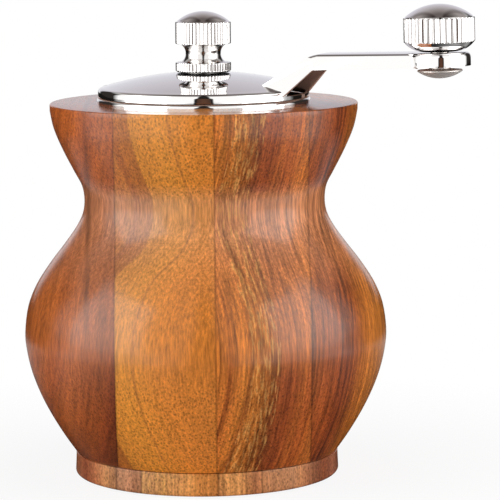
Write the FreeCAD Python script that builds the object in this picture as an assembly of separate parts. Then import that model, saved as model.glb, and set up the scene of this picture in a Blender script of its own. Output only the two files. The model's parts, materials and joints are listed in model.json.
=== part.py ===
import FreeCAD, Part
import math
import os

# Hand-cranked burr coffee mill with a turned wooden body and a plated crank.
# Millimetres, +Z up. The origin is the middle of the foot, on the surface the mill stands on.
# The crank arm points along +X at rest.

V = FreeCAD.Vector
UP = V(0, 0, 1)
CENTRE = V(0, 0, 0)

# ---- driving dimensions -------------------------------------------------------------
SLIP = 0.05                 # radial clearance of a running or sliding fit

BODY_TOP = 105.0            # top face of the wooden body
BODY_FOOT = 6.9             # underside of the body, where the base starts
LIP_R = 43.05               # widest part of the flared top
WAIST_R = 33.72
WAIST_Z = 78.0
BELLY_R = 50.95
BELLY_Z = 41.0
FOOT_R = 37.2               # body and base where they meet
TOP_BORE_R = 28.6           # takes the sleeve of the top ring
HOPPER_R = 26.6
LEDGE_Z = 90.0              # the upper bridge stands on this ledge
SHOULDER_Z = 45.0           # the burr housing is screwed up against this shoulder
CAVITY_R = 33.0             # bore for the grounds cup's sleeve

RING_R = 29.9
RING_TOP = 106.5
RING_INNER_R = 27.4

DOME_R = 29.5
SKIRT_FOOT = 106.7
LIP = 1.0                   # height of the skirt's lip where the arm leaves it
SKIRT_TOP = 109.3
DOME_APEX = 113.4
SHEET = 1.0                 # thickness of the pressed crank

BEND_X = 33.9               # where the arm's slope turns level
BEND_Z = 119.06
ARM_RISE_DEG = 1.4
CRANK_RADIUS = 68.6         # mill axis to knob axis
CUP_TOP = BEND_Z + (CRANK_RADIUS - BEND_X) * math.tan(math.radians(ARM_RISE_DEG))
ARM_HALF = 5.65
ARM_DEPTH = 4.1
CUP_R = 8.4
CUP_DEPTH = 3.7

PIN_R = 2.5                 # knob spindle
PIN_HEAD_R = 6.2
KNOB_R = 9.7
KNOB_FLUTES = 40
KNOB_HEIGHT = 13.1

NUT_R = 7.75
NUT_FLUTES = 48
NUT_FOOT = 113.75
NUT_TOP = 130.3
STUD_R = 3.0
STUD_TOP = 126.0

SHAFT_SQUARE = 7.0          # across flats
SQUARE_TOP = 111.5
JOURNAL_R = 2.5             # round lower end of the shaft
JOURNAL_FOOT = 30.0
THREAD_R = 2.9              # thread for the burr nut
THREAD_FOOT = 37.4

BURR_FOOT = 44.6
BURR_TOP = 66.0
BURR_GAP = 0.35
RING_BURR_TOP = 59.8
RING_BURR_FOOT_R = 19.4     # mouth of the ring burr at its lower face
RING_BURR_TOP_R = 15.6
RING_BURR_R = 23.0
BURR_TEETH = 36
BREAKER_FLUTES = 5

HOUSING_TOP = 66.0
HOUSING_FLANGE_FOOT = 42.0
HOUSING_FLANGE_R = 31.4
SCREW_CIRCLE = 29.2         # housing screws
LOWER_HUB_FOOT = 31.2
LOWER_HUB_TOP = 35.2

COLLAR_R = 6.0              # drive collar in its bush
COLLAR_FOOT = 86.5
COLLAR_FLANGE_FOOT = 95.1
COLLAR_TOP = 97.5
BUSH_R = 7.5
BUSH_FOOT = 88.0

SPRING_R = 8.2              # to the middle of the wire
SPRING_WIRE_R = 0.6
SPRING_TURNS = 5
SEAT_TOP = 67.6
CLIP_FOOT = 87.0

BASE_FOOT = 0.3             # wood stands clear of the table by this much
BASE_TOP = 6.7
CUP_FLOOR = 4.0
CUP_RIM = 30.0
CUP_WALL_R = 28.5
CUP_INNER_R = 27.2
COLLAR_PLUG_R = 31.5        # collar of the grounds cup, in the sleeve
SLEEVE_R = 32.95
SLEEVE_INNER_R = 31.6
FELT_R = 29.8
BASE_SCREW_CIRCLE = 20.0


# ---- helpers ------------------------------------------------------------------------
def outline(start, *legs):
    """Closed face in the X-Z plane. A leg is a point (line), a pair of points (arc through
    the first to the second) or a list of points (smooth curve)."""
    edges = []
    here = start
    for leg in legs:
        if isinstance(leg, list):
            curve = Part.BSplineCurve()
            curve.interpolate([V(r, 0, z) for r, z in [here] + leg])
            edges.append(curve.toShape())
            here = leg[-1]
        elif isinstance(leg[0], tuple):
            through, end = leg
            edges.append(Part.Arc(V(here[0], 0, here[1]), V(through[0], 0, through[1]),
                                  V(end[0], 0, end[1])).toShape())
            here = end
        else:
            edges.append(Part.LineSegment(V(here[0], 0, here[1]), V(leg[0], 0, leg[1])).toShape())
            here = leg
    if here != start:
        edges.append(Part.LineSegment(V(here[0], 0, here[1]), V(start[0], 0, start[1])).toShape())
    return Part.Face(Part.Wire(edges))


def turned(start, *legs):
    return outline(start, *legs).revolve(CENTRE, UP, 360)


def crown(rim, apex):
    """Arc from a rim point to the axis at the apex, round a centre on the axis."""
    rise = apex - rim[1]
    ball = (rim[0] ** 2 + rise ** 2) / (2 * rise)
    half = rim[0] / 2
    fall = abs(ball) - math.sqrt(ball ** 2 - half ** 2)
    return ((half, apex - math.copysign(fall, rise)), (0, apex))


def disc(radius, foot, top):
    return Part.makeCylinder(radius, top - foot, V(0, 0, foot))


def tube(outer, inner, foot, top):
    return disc(outer, foot, top).cut(disc(inner, foot - 1, top + 1))


def square_bar(flats, foot, top):
    return Part.makeBox(flats, flats, top - foot, V(-flats / 2, -flats / 2, foot))


def around(shape, count, start_deg=0.0):
    """Copies of a shape, evenly turned about the mill's axis."""
    copies = []
    for k in range(count):
        one = shape.copy()
        one.rotate(CENTRE, UP, start_deg + 360.0 * k / count)
        copies.append(one)
    return copies


def fluted_bar(radius, depth, count, foot, top):
    """Bar with rounded ribs all round it, to be crossed with a turned shape."""
    edges = []
    for k in range(count):
        spots = []
        for step, r in ((0.0, radius - depth), (0.5, radius), (1.0, radius - depth)):
            a = 2 * math.pi * (k + step) / count
            spots.append(V(r * math.cos(a), r * math.sin(a), foot))
        edges.append(Part.Arc(*spots).toShape())
    return Part.Face(Part.Wire(edges)).extrude(V(0, 0, top - foot))


def countersunk_screw(shank_r, head_r, head_foot, head_h, tip):
    """Screw standing on the axis, head below and tip above."""
    slot = Part.makeBox(2 * head_r, head_r / 4, head_h / 2,
                        V(-head_r, -head_r / 8, head_foot - 0.01))
    body = turned((0, head_foot), (head_r, head_foot), (shank_r, head_foot + head_h),
                  (shank_r, tip - shank_r), (0, tip))
    return body.cut(slot)


def pan_screw(shank_r, head_r, head_foot, head_h, tip):
    slot = Part.makeBox(2 * head_r, head_r / 4, head_h / 3,
                        V(-head_r, -head_r / 8, head_foot - 0.01))
    crown = (0.75 * head_r, head_foot)
    shoulder = (head_r, head_foot + head_h / 2)
    body = turned((0, head_foot), crown, shoulder, (head_r, head_foot + head_h),
                  (shank_r, head_foot + head_h), (shank_r, tip - shank_r), (0, tip))
    return body.cut(slot)


def on_circle(shape, radius, count, start_deg):
    moved = shape.copy()
    moved.translate(V(radius, 0, 0))
    return around(moved, count, start_deg)


def to_knob_axis(shape):
    """From the knob's own upright axis to its place on the rising arm."""
    shape.rotate(CENTRE, V(0, 1, 0), -ARM_RISE_DEG)
    shape.translate(V(CRANK_RADIUS, 0, CUP_TOP))
    return shape


# ---- wooden body and what is fixed in it --------------------------------------------
def wooden_body():
    edge = 0.3
    lower_flank = [(40.5, 12.0), (44.1, 18.0), (47.05, 24.0), (49.25, 30.0), (50.6, 36.0),
                   (BELLY_R, BELLY_Z), (49.95, 48.0)]
    upper_flank = [(47.5, 54.0), (43.6, 60.0), (39.75, 65.0), (36.2, 70.0), (34.25, 74.0),
                   (WAIST_R, WAIST_Z), (34.35, 82.0), (36.4, 86.0), (39.45, 92.0), (41.95, 98.0),
                   (LIP_R, 103.0)]
    shell = turned((FOOT_R - edge, BODY_FOOT), (FOOT_R, BODY_FOOT + edge),
                   lower_flank + upper_flank, (LIP_R, BODY_TOP - edge),
                   (LIP_R - edge, BODY_TOP), (TOP_BORE_R + SLIP, BODY_TOP),
                   (TOP_BORE_R + SLIP, LEDGE_Z), (HOPPER_R, LEDGE_Z), (HOPPER_R, SHOULDER_Z),
                   (CAVITY_R, SHOULDER_Z), (CAVITY_R, BODY_FOOT))
    pilot = Part.makeCylinder(1.45, 12.0, V(0, 0, SHOULDER_Z - 1))
    for hole in on_circle(pilot, SCREW_CIRCLE, 3, 30):
        shell = shell.cut(hole)
    return shell


def top_ring():
    """Plated collar: a rounded rim on the wood and a sleeve down its bore."""
    rim = 0.9
    sleeve_foot = LEDGE_Z + 1.6
    return turned((RING_R, BODY_TOP), (RING_R, RING_TOP - rim),
                  ((RING_R - 0.29 * rim, RING_TOP - 0.29 * rim), (RING_R - rim, RING_TOP)),
                  (RING_INNER_R + 0.65, RING_TOP),
                  ((RING_INNER_R + 0.19, RING_TOP - 0.19), (RING_INNER_R, RING_TOP - 0.65)),
                  (RING_INNER_R, sleeve_foot), (TOP_BORE_R, sleeve_foot), (TOP_BORE_R, BODY_TOP))


def upper_bridge():
    """Three-armed spider on the ledge, held down by the ring's sleeve."""
    rim = tube(TOP_BORE_R, HOPPER_R + 0.2, LEDGE_Z, LEDGE_Z + 1.55)
    hub = disc(10.0, BUSH_FOOT, LEDGE_Z + 4.0)
    arm = Part.makeBox(HOPPER_R, 5.0, 1.55, V(1.0, -2.5, LEDGE_Z))
    rib = Part.makeBox(HOPPER_R - 1.5, 1.6, 2.8, V(1.0, -0.8, LEDGE_Z + 0.2))
    spider = rim.fuse(hub)
    for piece in around(arm.fuse(rib), 3, 60):
        spider = spider.fuse(piece)
    return spider.cut(disc(BUSH_R, BUSH_FOOT - 1, COLLAR_TOP)).removeSplitter()


def upper_bush():
    bore = COLLAR_R + SLIP
    return turned((bore, BUSH_FOOT), (BUSH_R, BUSH_FOOT), (BUSH_R, LEDGE_Z + 4.0),
                  (9.0, LEDGE_Z + 4.0), (9.0, COLLAR_FLANGE_FOOT - 0.05),
                  (bore, COLLAR_FLANGE_FOOT - 0.05))


def burr_housing():
    """Cast cup with a funnel mouth: the ring burr goes in from below."""
    throat_top = RING_BURR_TOP + 1.2
    casting = turned((RING_BURR_R + SLIP, HOUSING_FLANGE_FOOT),
                     (HOUSING_FLANGE_R, HOUSING_FLANGE_FOOT), (HOUSING_FLANGE_R, SHOULDER_Z),
                     (HOPPER_R - 0.1, SHOULDER_Z), (HOPPER_R - 0.1, HOUSING_TOP),
                     (HOPPER_R - 0.9, HOUSING_TOP), (RING_BURR_TOP_R, throat_top),
                     (RING_BURR_TOP_R, RING_BURR_TOP), (RING_BURR_R + SLIP, RING_BURR_TOP))
    groove = tube(RING_BURR_R + 1.1, RING_BURR_R - 1, BURR_FOOT - 1.3, BURR_FOOT - 0.1)
    hole = Part.makeCylinder(1.6, 8.0, V(0, 0, HOUSING_FLANGE_FOOT - 1))
    casting = casting.cut(groove)
    for one in on_circle(hole, SCREW_CIRCLE, 3, 30):
        casting = casting.cut(one)
    return casting


def outer_burr():
    ring = turned((RING_BURR_FOOT_R, BURR_FOOT), (RING_BURR_R, BURR_FOOT),
                  (RING_BURR_R, RING_BURR_TOP - SLIP), (RING_BURR_TOP_R, RING_BURR_TOP - SLIP))
    height = RING_BURR_TOP - BURR_FOOT
    lean = math.degrees(math.atan2(RING_BURR_FOOT_R - RING_BURR_TOP_R, height))
    tooth = Part.makeBox(1.0, 1.0, height + 4, V(-0.5, -0.5, -2))
    tooth.rotate(CENTRE, UP, 45)
    tooth.rotate(CENTRE, V(0, 1, 0), -lean)
    tooth.rotate(CENTRE, V(1, 0, 0), 14)
    tooth.translate(V(RING_BURR_FOOT_R + 0.15, 1.6, BURR_FOOT))
    return ring.cut(around(tooth, BURR_TEETH))


def burr_clip():
    """Spring ring that holds the ring burr up in its housing."""
    ring = tube(RING_BURR_R + 1.0, RING_BURR_R - 1.6, BURR_FOOT - 1.25, BURR_FOOT - 0.15)
    gap = Part.makeBox(6.0, 5.0, 4.0, V(20.0, -2.5, BURR_FOOT - 3))
    return ring.cut(gap)


def lower_bridge():
    """Casting with three hanging arms that carries the shaft's lower bush."""
    rim_foot = 40.0
    rim = tube(HOUSING_FLANGE_R, HOPPER_R, rim_foot, HOUSING_FLANGE_FOOT)
    hub = disc(7.0, LOWER_HUB_FOOT, LOWER_HUB_TOP)
    leg = Part.makeBox(2.4, 6.0, HOUSING_FLANGE_FOOT - LOWER_HUB_FOOT,
                       V(HOPPER_R, -3.0, LOWER_HUB_FOOT))
    arm = Part.makeBox(HOPPER_R - 3.0, 6.0, 2.6, V(4.0, -3.0, LOWER_HUB_FOOT))
    hole = Part.makeCylinder(1.6, 4.0, V(0, 0, rim_foot - 1))
    casting = rim.fuse(hub)
    for piece in around(leg.fuse(arm), 3, 90):
        casting = casting.fuse(piece)
    for one in on_circle(hole, SCREW_CIRCLE, 3, 30):
        casting = casting.cut(one)
    return casting.cut(disc(4.6, LOWER_HUB_FOOT - 1, LOWER_HUB_TOP + 1)).removeSplitter()


def lower_bush():
    return tube(4.6, JOURNAL_R + SLIP, LOWER_HUB_FOOT - 0.2, LOWER_HUB_TOP + 0.3)


def housing_screws():
    screw = pan_screw(1.4, 2.2, 38.2, 1.75, 54.0)
    return Part.makeCompound(on_circle(screw, SCREW_CIRCLE, 3, 30))


def cup_sleeve():
    """Pressed tube that lines the cavity, so that the cup's collar slides in metal."""
    return tube(SLEEVE_R, SLEEVE_INNER_R, BODY_FOOT + 0.5, 39.4)


# ---- drive: turns with the crank but keeps its height --------------------------------
def drive_collar():
    body = turned((0, COLLAR_FOOT), (COLLAR_R, COLLAR_FOOT), (COLLAR_R, CLIP_FOOT),
                  (COLLAR_R - 0.4, CLIP_FOOT), (COLLAR_R - 0.4, CLIP_FOOT + 0.9),
                  (COLLAR_R, CLIP_FOOT + 0.9), (COLLAR_R, COLLAR_FLANGE_FOOT),
                  (9.0, COLLAR_FLANGE_FOOT), (9.0, COLLAR_TOP), (0, COLLAR_TOP))
    return body.cut(square_bar(SHAFT_SQUARE + 2 * SLIP, COLLAR_FOOT - 1, COLLAR_TOP + 1))


def collar_clip():
    ring = tube(9.0, COLLAR_R - 0.35, CLIP_FOOT + 0.05, CLIP_FOOT + 0.85)
    mouth = Part.makeBox(6.0, 3.0, 3.0, V(4.6, -1.5, CLIP_FOOT - 1))
    return ring.cut(mouth)


# ---- shaft and inner burr: turn with the drive, and rise and fall to set the grind ---
def drive_shaft():
    square = square_bar(SHAFT_SQUARE, THREAD_FOOT + 6.2, SQUARE_TOP)
    square = square.common(disc(4.75, THREAD_FOOT, SQUARE_TOP))
    lower = turned((0, JOURNAL_FOOT), (JOURNAL_R - 0.4, JOURNAL_FOOT),
                   (JOURNAL_R, JOURNAL_FOOT + 0.4), (JOURNAL_R, THREAD_FOOT),
                   (THREAD_R, THREAD_FOOT + 0.4), (THREAD_R, THREAD_FOOT + 6.4),
                   (0, THREAD_FOOT + 6.4))
    stud = turned((0, SQUARE_TOP - 0.5), (STUD_R, SQUARE_TOP - 0.5), (STUD_R, STUD_TOP - 0.6),
                  (STUD_R - 0.6, STUD_TOP), (0, STUD_TOP))
    return square.fuse(lower).fuse(stud).removeSplitter()


def inner_burr():
    """Cone burr: fine teeth round the foot, a few large breaker flutes above them."""
    fine_top = 50.0
    narrowing = (RING_BURR_FOOT_R - RING_BURR_TOP_R) / (RING_BURR_TOP - BURR_FOOT)
    foot_r = RING_BURR_FOOT_R - BURR_GAP
    fine_top_r = foot_r - narrowing * (fine_top - BURR_FOOT)
    nose_r = 7.6
    cone = turned((0, BURR_FOOT - 1), (foot_r - 0.6, BURR_FOOT - 1), (foot_r, BURR_FOOT),
                  (fine_top_r, fine_top), (nose_r, BURR_TOP), (0, BURR_TOP))
    tooth = Part.makeBox(1.0, 1.0, 12.0, V(-0.5, -0.5, -2))
    tooth.rotate(CENTRE, UP, 45)
    tooth.rotate(CENTRE, V(0, 1, 0), -math.degrees(math.atan(narrowing)))
    tooth.rotate(CENTRE, V(1, 0, 0), -14)
    tooth.translate(V(foot_r, -1.0, BURR_FOOT - 0.5))
    lean = math.degrees(math.atan2(fine_top_r - nose_r, BURR_TOP - fine_top))
    flute = Part.makeCylinder(2.9, 26.0, V(0, 0, -2))
    flute.rotate(CENTRE, V(0, 1, 0), -lean)
    flute.rotate(CENTRE, V(1, 0, 0), -20)
    flute.translate(V(fine_top_r + 0.6, -3.5, fine_top))
    burr = cone.cut(around(tooth, BURR_TEETH)).cut(around(flute, BREAKER_FLUTES))
    return burr.cut(square_bar(SHAFT_SQUARE + 0.04, BURR_FOOT - 2, BURR_TOP + 1))


def burr_washer():
    return tube(8.5, THREAD_R + 0.05, 42.3, BURR_FOOT - 1.0)


def burr_nut():
    corners = [V(5.77 * math.cos(math.radians(a)), 5.77 * math.sin(math.radians(a)), 38.4)
               for a in range(0, 361, 60)]
    hexagon = Part.Face(Part.makePolygon(corners)).extrude(V(0, 0, 3.85))
    return hexagon.cut(disc(THREAD_R + 0.03, 37.0, 44.0))


def spring_seat():
    seat = turned((0, BURR_TOP + 0.05), (9.6, BURR_TOP + 0.05), (9.6, SEAT_TOP - 0.6),
                  (9.0, SEAT_TOP), (0, SEAT_TOP))
    return seat.cut(square_bar(SHAFT_SQUARE + 0.04, BURR_TOP - 1, SEAT_TOP + 1))


def adjusting_spring():
    """Open coil that pushes the cone burr down as the top nut is slackened."""
    foot = SEAT_TOP + SPRING_WIRE_R + 0.02
    height = CLIP_FOOT - SPRING_WIRE_R - 0.02 - foot
    pitch = height / SPRING_TURNS
    helix = Part.makeHelix(pitch, height, SPRING_R)
    helix.translate(V(0, 0, foot))
    slope = V(0, 2 * math.pi * SPRING_R, pitch)
    section = Part.Wire(Part.makeCircle(SPRING_WIRE_R, V(SPRING_R, 0, foot), slope))
    return Part.Wire(helix.Edges).makePipeShell([section], True, True)


# ---- crank: dome cap, arm and knob cup pressed from one sheet ------------------------
def dome_solid(inset, foot):
    """Cap with its skirt; inset moves every face inwards by the sheet's thickness."""
    corner = 1.2
    shoulder_r = DOME_R - inset
    crown_rim = (DOME_R - corner, SKIRT_TOP - inset)
    bend = corner - inset
    return turned((0, foot), (shoulder_r, foot), (shoulder_r, SKIRT_TOP - corner),
                  ((shoulder_r - 0.29 * bend, SKIRT_TOP - inset - 0.29 * bend), crown_rim),
                  crown(crown_rim, DOME_APEX - inset))


def channel_section(top, foot, half_top, half_foot, corner):
    """Section of the arm: top and foot are the (x, z) of its flat top and its lower edge."""
    reach = math.hypot(foot[0] - top[0], foot[1] - top[1])

    def spot(depth, side, inward=0.0):
        share = depth / reach
        half = half_top + (half_foot - half_top) * share - inward
        return V(top[0] + (foot[0] - top[0]) * share, side * half,
                 top[1] + (foot[1] - top[1]) * share)

    line = Part.LineSegment
    edges = [line(spot(reach, -1), spot(corner, -1)).toShape(),
             Part.Arc(spot(corner, -1), spot(0.29 * corner, -1, 0.29 * corner),
                      spot(0, -1, corner)).toShape(),
             line(spot(0, -1, corner), spot(0, 1, corner)).toShape(),
             Part.Arc(spot(0, 1, corner), spot(0.29 * corner, 1, 0.29 * corner),
                      spot(corner, 1)).toShape(),
             line(spot(corner, 1), spot(reach, 1)).toShape(),
             line(spot(reach, 1), spot(reach, -1)).toShape()]
    return Part.Wire(edges)


def crank_arm(inset):
    """Channel from the dome, wide and flared into its skirt, up to the bend and on to the knob."""
    corner = 0.9 - 0.4 * inset
    drop = inset / math.cos(math.radians(ARM_RISE_DEG))
    low = ARM_DEPTH + 2.5 * inset
    half = ARM_HALF - inset
    root = channel_section((21.1, 110.7 - 1.2 * inset), (27.0 + 1.4 * inset, 107.3 - 2.5 * inset),
                           10.1 - 1.15 * inset, 12.0 - 1.15 * inset, corner)
    splay = low / ARM_DEPTH
    bend = channel_section((BEND_X, BEND_Z - drop), (BEND_X + 0.8 * splay, BEND_Z - low),
                           half, half + 2.0 * splay, corner)
    end = channel_section((CRANK_RADIUS, CUP_TOP - drop), (CRANK_RADIUS, CUP_TOP - low),
                          half, half, corner)
    return Part.makeLoft([root, bend, end], True, True)


def knob_cup(inset):
    corner = 1.2 - 0.8 * inset
    r = CUP_R - inset
    foot = -CUP_DEPTH - 3.0 * inset
    return to_knob_axis(turned((0, foot), (r, foot), (r, -inset - corner),
                               ((r - 0.29 * corner, -inset - 0.29 * corner),
                                (r - corner, -inset)), (0, -inset)))


def crank_cap():
    """One pressing: dome, channelled arm and knob cup; the skirt's lip closes the arm's mouth."""
    lip = disc(DOME_R, SKIRT_FOOT - 4.0, SKIRT_FOOT + LIP).cut(
        disc(DOME_R - SHEET - 0.3, SKIRT_FOOT - 4.5, SKIRT_FOOT + LIP + 0.5))
    skin = dome_solid(0.0, SKIRT_FOOT).fuse(crank_arm(0.0)).fuse(knob_cup(0.0))
    hollow = dome_solid(SHEET, SKIRT_FOOT - 2.0)
    hollow = hollow.fuse(crank_arm(SHEET).cut(lip)).fuse(knob_cup(SHEET))
    sheet = skin.cut(hollow)
    sheet = sheet.cut(disc(5.05, DOME_APEX - 3, DOME_APEX + 3))
    hole = to_knob_axis(Part.makeCylinder(PIN_R + 0.02, 3.0, V(0, 0, -2.0)))
    return sheet.cut(hole)


def crank_hub():
    """Square-bored boss riveted into the middle of the dome."""
    under = DOME_APEX - SHEET - 0.1
    body = turned((0, COLLAR_TOP + 0.05), (8.0, COLLAR_TOP + 0.05), (8.0, under - 0.3),
                  (5.0, under - 0.3), (5.0, DOME_APEX + 0.05), (0, DOME_APEX + 0.05))
    bore = square_bar(SHAFT_SQUARE + 2 * SLIP, COLLAR_TOP - 1, SQUARE_TOP + 0.3)
    return body.cut(bore).cut(disc(STUD_R + SLIP, SQUARE_TOP - 1, DOME_APEX + 2))


def knob_pin():
    """Shouldered spindle: domed head under the cup, shank up into the knob."""
    head_foot = -7.1
    head_rim = -5.1
    neck_top = -SHEET - 0.02
    groove = 7.3
    shank = PIN_R - 0.4
    tip = groove + 1.4
    body = turned((0, tip), (PIN_R - 0.4, tip), (PIN_R, groove + 0.9), (shank, groove + 0.9),
                  (shank, groove), (PIN_R, groove), (PIN_R, neck_top), (2.9, neck_top),
                  (2.9, head_rim + 0.7), (PIN_HEAD_R - 0.3, head_rim + 0.4),
                  (PIN_HEAD_R, head_rim), crown((PIN_HEAD_R, head_rim), head_foot))
    return to_knob_axis(body)


def knob_clip():
    ring = tube(4.6, PIN_R - 0.35, 7.35, 8.15)
    mouth = Part.makeBox(4.0, 2.4, 3.0, V(1.8, -1.2, 6.0))
    return to_knob_axis(ring.cut(mouth))


# ---- crank knob and top nut -----------------------------------------------------------
def crank_knob():
    bore = PIN_R + SLIP
    bowl = turned((bore, 0.2), (4.2, 0.2), ((7.6, 1.1), (KNOB_R - 0.25, 2.75)), (KNOB_R, 3.0),
                  (KNOB_R, 9.3), (KNOB_R - 0.3, 9.5), (5.5, 9.5), (5.5, 7.0), (bore, 7.0))
    return to_knob_axis(bowl.common(fluted_bar(KNOB_R, 0.4, KNOB_FLUTES, 0.0, 10.0)))


def knob_cap():
    """Domed button pressed into the knob, over the spindle's clip."""
    rim = (KNOB_R - 0.4, 9.7)
    return to_knob_axis(turned((0, 8.9), (5.45, 8.9), (5.45, 9.55), (rim[0], 9.55), rim,
                               crown(rim, KNOB_HEIGHT)))


def adjusting_nut():
    """Knurled nut: flange, hollow neck and knurled head with a domed top."""
    neck_r = 4.9
    neck_z = 118.6
    flange_top = NUT_FOOT + 2.4
    band_foot = 121.3
    band_top = 127.35
    edge = 0.15
    shoulder = (NUT_R - 0.35, band_top + 0.1)
    form = turned((STUD_R + SLIP, NUT_FOOT), (NUT_R - edge, NUT_FOOT), (NUT_R, NUT_FOOT + edge),
                  (NUT_R, flange_top - edge), (NUT_R - edge, flange_top), (6.3, flange_top),
                  ((neck_r, neck_z), (6.3, band_foot - 0.1)), (NUT_R - edge, band_foot),
                  (NUT_R, band_foot + edge), (NUT_R, band_top - edge), shoulder,
                  crown(shoulder, NUT_TOP), (0, STUD_TOP + 0.8),
                  (STUD_R + SLIP, STUD_TOP + 0.8))
    return form.common(fluted_bar(NUT_R, 0.22, NUT_FLUTES, NUT_FOOT - 1, NUT_TOP + 1))


def nut_washer():
    return tube(7.4, STUD_R + 0.2, DOME_APEX + 0.08, NUT_FOOT - 0.02)


# ---- base and grounds cup: pull down off the body together ----------------------------
def wooden_base():
    edge = 0.3
    foot_round = 1.3
    ring = turned((0, BASE_FOOT + 1.2), (FELT_R + 0.2, BASE_FOOT + 1.2),
                  (FELT_R + 0.2, BASE_FOOT), (FOOT_R - foot_round + 0.3, BASE_FOOT),
                  ((FOOT_R - 0.08, BASE_FOOT + 0.4), (FOOT_R + 0.05, BASE_FOOT + foot_round)),
                  (FOOT_R - 0.15, BASE_TOP - edge), (FOOT_R - 0.15 - edge, BASE_TOP),
                  (COLLAR_PLUG_R + SLIP, BASE_TOP), (COLLAR_PLUG_R + SLIP, CUP_FLOOR), (0, CUP_FLOOR))
    sink = turned((0, 0), (3.05, 0), (3.05, 1.6), (1.5, 3.1), (1.5, 6.0), (0, 6.0))
    for one in on_circle(sink, BASE_SCREW_CIRCLE, 3, 30):
        ring = ring.cut(one)
    return ring


def grounds_cup():
    """Cup with a thick collar that slides in the sleeve and carries the seal."""
    floor_top = CUP_FLOOR + 1.4
    collar_top = 15.0
    seal_z = 12.0
    body = turned((0, CUP_FLOOR), (COLLAR_PLUG_R, CUP_FLOOR), (COLLAR_PLUG_R, seal_z - 1.1),
                  (COLLAR_PLUG_R - 1.7, seal_z - 1.1), (COLLAR_PLUG_R - 1.7, seal_z + 1.1),
                  (COLLAR_PLUG_R, seal_z + 1.1), (COLLAR_PLUG_R, collar_top),
                  (CUP_WALL_R, collar_top + 1.0), (CUP_WALL_R, CUP_RIM - 0.3),
                  (CUP_WALL_R - 0.3, CUP_RIM), (CUP_INNER_R, CUP_RIM), (CUP_INNER_R, floor_top + 2.0),
                  ((CUP_INNER_R - 0.59, floor_top + 0.59), (CUP_INNER_R - 2.0, floor_top)),
                  (0, floor_top))
    boss = Part.makeCylinder(3.2, 4.0, V(0, 0, floor_top - 0.1))
    pilot = Part.makeCylinder(1.45, 4.4, V(0, 0, CUP_FLOOR - 0.1))
    for one in on_circle(boss, BASE_SCREW_CIRCLE, 3, 30):
        body = body.fuse(one)
    for one in on_circle(pilot, BASE_SCREW_CIRCLE, 3, 30):
        body = body.cut(one)
    return body.removeSplitter()


def cup_seal():
    """Rubber ring in the collar's groove; it grips the sleeve."""
    return Part.makeTorus(COLLAR_PLUG_R - 0.86, 0.8, V(0, 0, 12.0))


def base_screws():
    screw = countersunk_screw(1.4, 2.9, 1.65, 1.35, 8.0)
    return Part.makeCompound(on_circle(screw, BASE_SCREW_CIRCLE, 3, 30))


def felt_foot():
    return disc(FELT_R, 0.0, BASE_FOOT + 1.15)


NODES = [wooden_body, top_ring, upper_bridge, upper_bush, burr_housing, outer_burr, burr_clip,
         lower_bridge, lower_bush, housing_screws, cup_sleeve,
         drive_collar, collar_clip,
         drive_shaft, inner_burr, burr_washer, burr_nut, spring_seat, adjusting_spring,
         crank_cap, crank_hub, knob_pin, knob_clip,
         crank_knob, knob_cap, adjusting_nut, nut_washer,
         wooden_base, grounds_cup, cup_seal, base_screws, felt_foot]


def main():
    os.makedirs("parts", exist_ok=True)
    for make in NODES:
        shape = make()
        if not shape.isValid():
            print("not valid:", make.__name__)
        print(make.__name__, len(shape.Solids), round(shape.Volume, 1))
        shape.exportStep("parts/" + make.__name__ + ".step")


main()
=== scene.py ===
import json
import math

import bmesh
import bpy
from mathutils import Matrix, Vector


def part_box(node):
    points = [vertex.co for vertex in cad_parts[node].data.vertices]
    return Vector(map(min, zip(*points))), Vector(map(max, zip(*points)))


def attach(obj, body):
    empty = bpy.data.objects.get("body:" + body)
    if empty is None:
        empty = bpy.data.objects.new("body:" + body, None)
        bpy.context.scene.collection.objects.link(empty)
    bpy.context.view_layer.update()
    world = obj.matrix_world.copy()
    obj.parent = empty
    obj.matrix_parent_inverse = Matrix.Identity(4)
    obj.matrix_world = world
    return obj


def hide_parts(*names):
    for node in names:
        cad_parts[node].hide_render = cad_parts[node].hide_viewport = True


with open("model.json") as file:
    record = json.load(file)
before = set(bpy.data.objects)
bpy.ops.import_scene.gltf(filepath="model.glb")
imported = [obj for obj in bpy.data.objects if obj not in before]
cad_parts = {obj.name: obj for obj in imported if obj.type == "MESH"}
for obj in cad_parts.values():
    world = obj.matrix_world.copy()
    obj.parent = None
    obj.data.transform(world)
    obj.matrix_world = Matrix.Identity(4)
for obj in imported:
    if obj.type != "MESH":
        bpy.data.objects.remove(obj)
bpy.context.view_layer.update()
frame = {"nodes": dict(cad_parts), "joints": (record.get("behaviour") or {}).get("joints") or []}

# Hand-cranked coffee mill: turned wooden body, plated crank with a fluted knob, knurled nut.
# Outlines below are in millimetres, as (radius, height).

MM = 0.001
VIEW_TURN = math.radians(21)      # the crank arm points this far towards the viewer
TOWARDS = Vector((math.sin(VIEW_TURN), -math.cos(VIEW_TURN), 0))
ACROSS = Vector((math.cos(VIEW_TURN), math.sin(VIEW_TURN), 0))


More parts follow.
